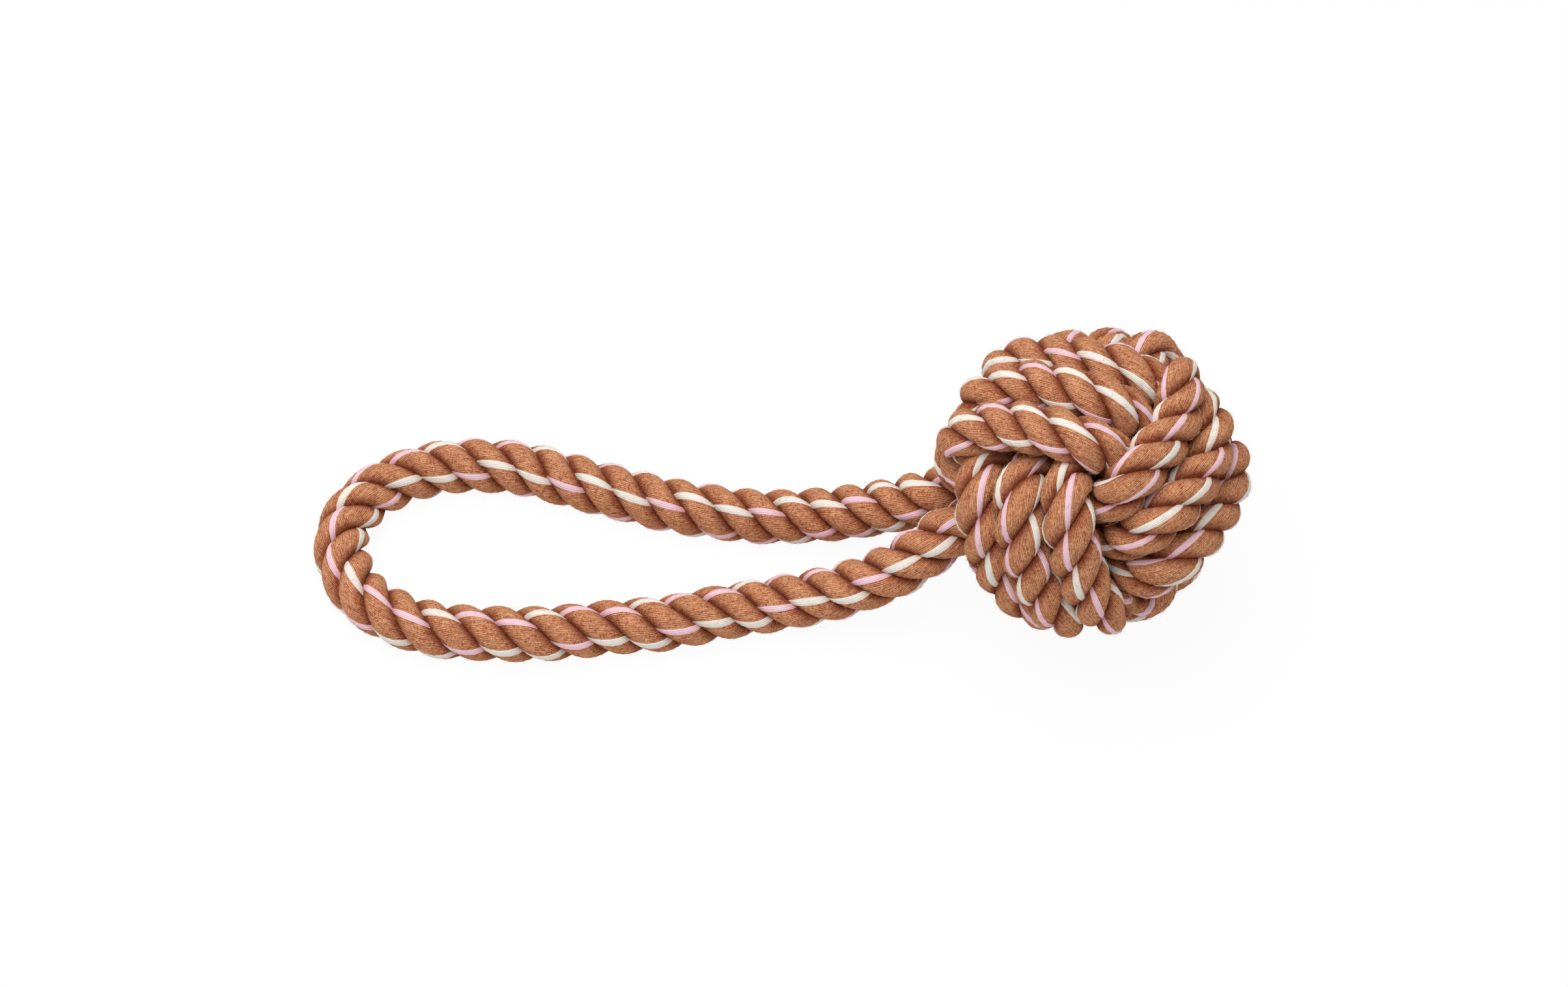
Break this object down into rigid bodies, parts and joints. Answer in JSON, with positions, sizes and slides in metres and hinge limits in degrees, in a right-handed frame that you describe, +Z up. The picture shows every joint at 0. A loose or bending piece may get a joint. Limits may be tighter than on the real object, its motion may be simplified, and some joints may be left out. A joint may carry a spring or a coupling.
{
  "type": "rope dog toy",
  "caption": "Laid cotton rope tied as a woven ball knot, with a loop of the same rope standing out of it as a handle, for a dog to chew, fetch and tug.",
  "frame": {"origin": "on the floor, under the middle of the toy's box", "axes": "+X along the toy from the loop to the ball, +Z up, +Y across, away from the viewer"},
  "size_m": [0.2862, 0.099, 0.0946],
  "materials": {
    "cotton_rope": "matte spun cotton yarn, brown with white and pink tracer yarns",
    "wadding": "matte cotton offcuts"
  },
  "bodies": {
    "knot": {"core_ball": "wadding", "top_turns": "cotton_rope", "front_turns": "cotton_rope", "side_turns": "cotton_rope"},
    "neck": {"back_neck": "cotton_rope", "front_neck": "cotton_rope"},
    "handle": {"back_throat": "cotton_rope", "front_throat": "cotton_rope", "back_leg": "cotton_rope", "front_leg": "cotton_rope"},
    "bight": {"back_bend": "cotton_rope", "front_bend": "cotton_rope", "handle_bight": "cotton_rope"}
  },
  "joints": [
    {"name": "handle_swing", "type": "hinge", "parent": "knot", "child": "neck", "pos_m": [0.03464, -0.00391, 0.022], "axis": [0, 1, 0], "range_deg": [-60, 90], "deforming": ["back_neck", "front_neck"]},
    {"name": "handle_sway", "type": "hinge", "parent": "neck", "child": "handle", "pos_m": [-0.00136, -0.00391, 0.008], "axis": [0, 0, 1], "range_deg": [-40, 40], "deforming": ["back_throat", "front_throat"]},
    {"name": "loop_fold", "type": "hinge", "parent": "handle", "child": "bight", "pos_m": [-0.06136, -0.00191, 0.00664], "axis": [0, 1, 0], "range_deg": [-90, 90], "deforming": ["back_bend", "front_bend"]}
  ]
}
